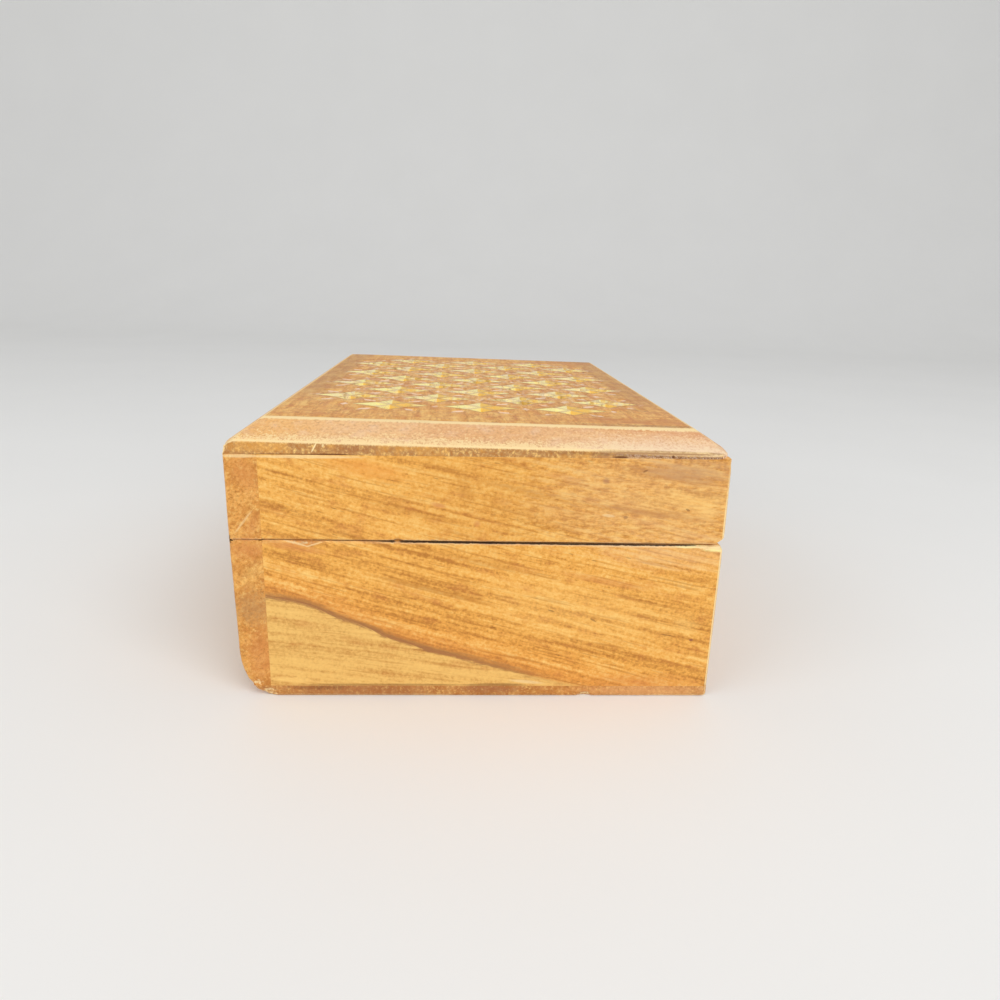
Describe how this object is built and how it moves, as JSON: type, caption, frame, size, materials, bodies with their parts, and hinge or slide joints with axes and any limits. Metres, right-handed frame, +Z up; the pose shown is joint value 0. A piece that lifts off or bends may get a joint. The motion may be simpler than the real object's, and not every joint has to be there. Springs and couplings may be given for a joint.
{
  "type": "wooden trinket box",
  "caption": "Small hardwood trinket box with a hinged, bevelled lid carved with a lattice of chips and inlaid brass flowers.",
  "frame": {"origin": "centre of the underside, which stands on the table", "axes": "+Z up, +Y from the pictured near end towards the far end, +X from the hinge side towards the opening side"},
  "size_m": [0.1103, 0.152, 0.0634],
  "materials": {
    "base_wall_wood": "clear satin lacquer on golden brown hardwood, long grain with dark streaks",
    "lid_wall_wood": "clear satin lacquer on golden brown hardwood, long grain with small knots",
    "carved_top_wood": "satin lacquer, pale rubbed edges, open end grain on the end bevels",
    "bottom_board_wood": "thin reddish board, lightly sanded",
    "inlay_brass": "hand-rubbed brass, bright on the rims",
    "hinge_brass": "aged satin brass",
    "pin_and_screw_brass": "turned brass, slightly dull"
  },
  "bodies": {
    "base": {"base_bottom_board": "bottom_board_wood", "base_near_wall": "base_wall_wood", "base_right_wall": "base_wall_wood", "base_far_wall": "base_wall_wood", "base_left_wall": "base_wall_wood", "hinge_near_base_leaf": "hinge_brass", "hinge_far_base_leaf": "hinge_brass", "hinge_near_pin": "pin_and_screw_brass", "hinge_far_pin": "pin_and_screw_brass", "base_hinge_screws": "pin_and_screw_brass"},
    "lid": {"lid_near_wall": "lid_wall_wood", "lid_right_wall": "lid_wall_wood", "lid_far_wall": "lid_wall_wood", "lid_left_wall": "lid_wall_wood", "lid_top_board": "carved_top_wood", "inlay_row_1": "inlay_brass", "inlay_row_2": "inlay_brass", "inlay_row_3": "inlay_brass", "inlay_row_4": "inlay_brass", "inlay_row_5": "inlay_brass", "inlay_row_6": "inlay_brass", "inlay_row_7": "inlay_brass", "inlay_row_8": "inlay_brass", "inlay_row_9": "inlay_brass", "hinge_near_lid_leaf": "hinge_brass", "hinge_far_lid_leaf": "hinge_brass", "lid_hinge_screws": "pin_and_screw_brass"}
  },
  "joints": [
    {"name": "lid_hinge", "type": "hinge", "parent": "base", "child": "lid", "pos_m": [-0.0547, 0, 0.03803], "axis": [0, -1, 0], "range_deg": [0, 180]}
  ]
}
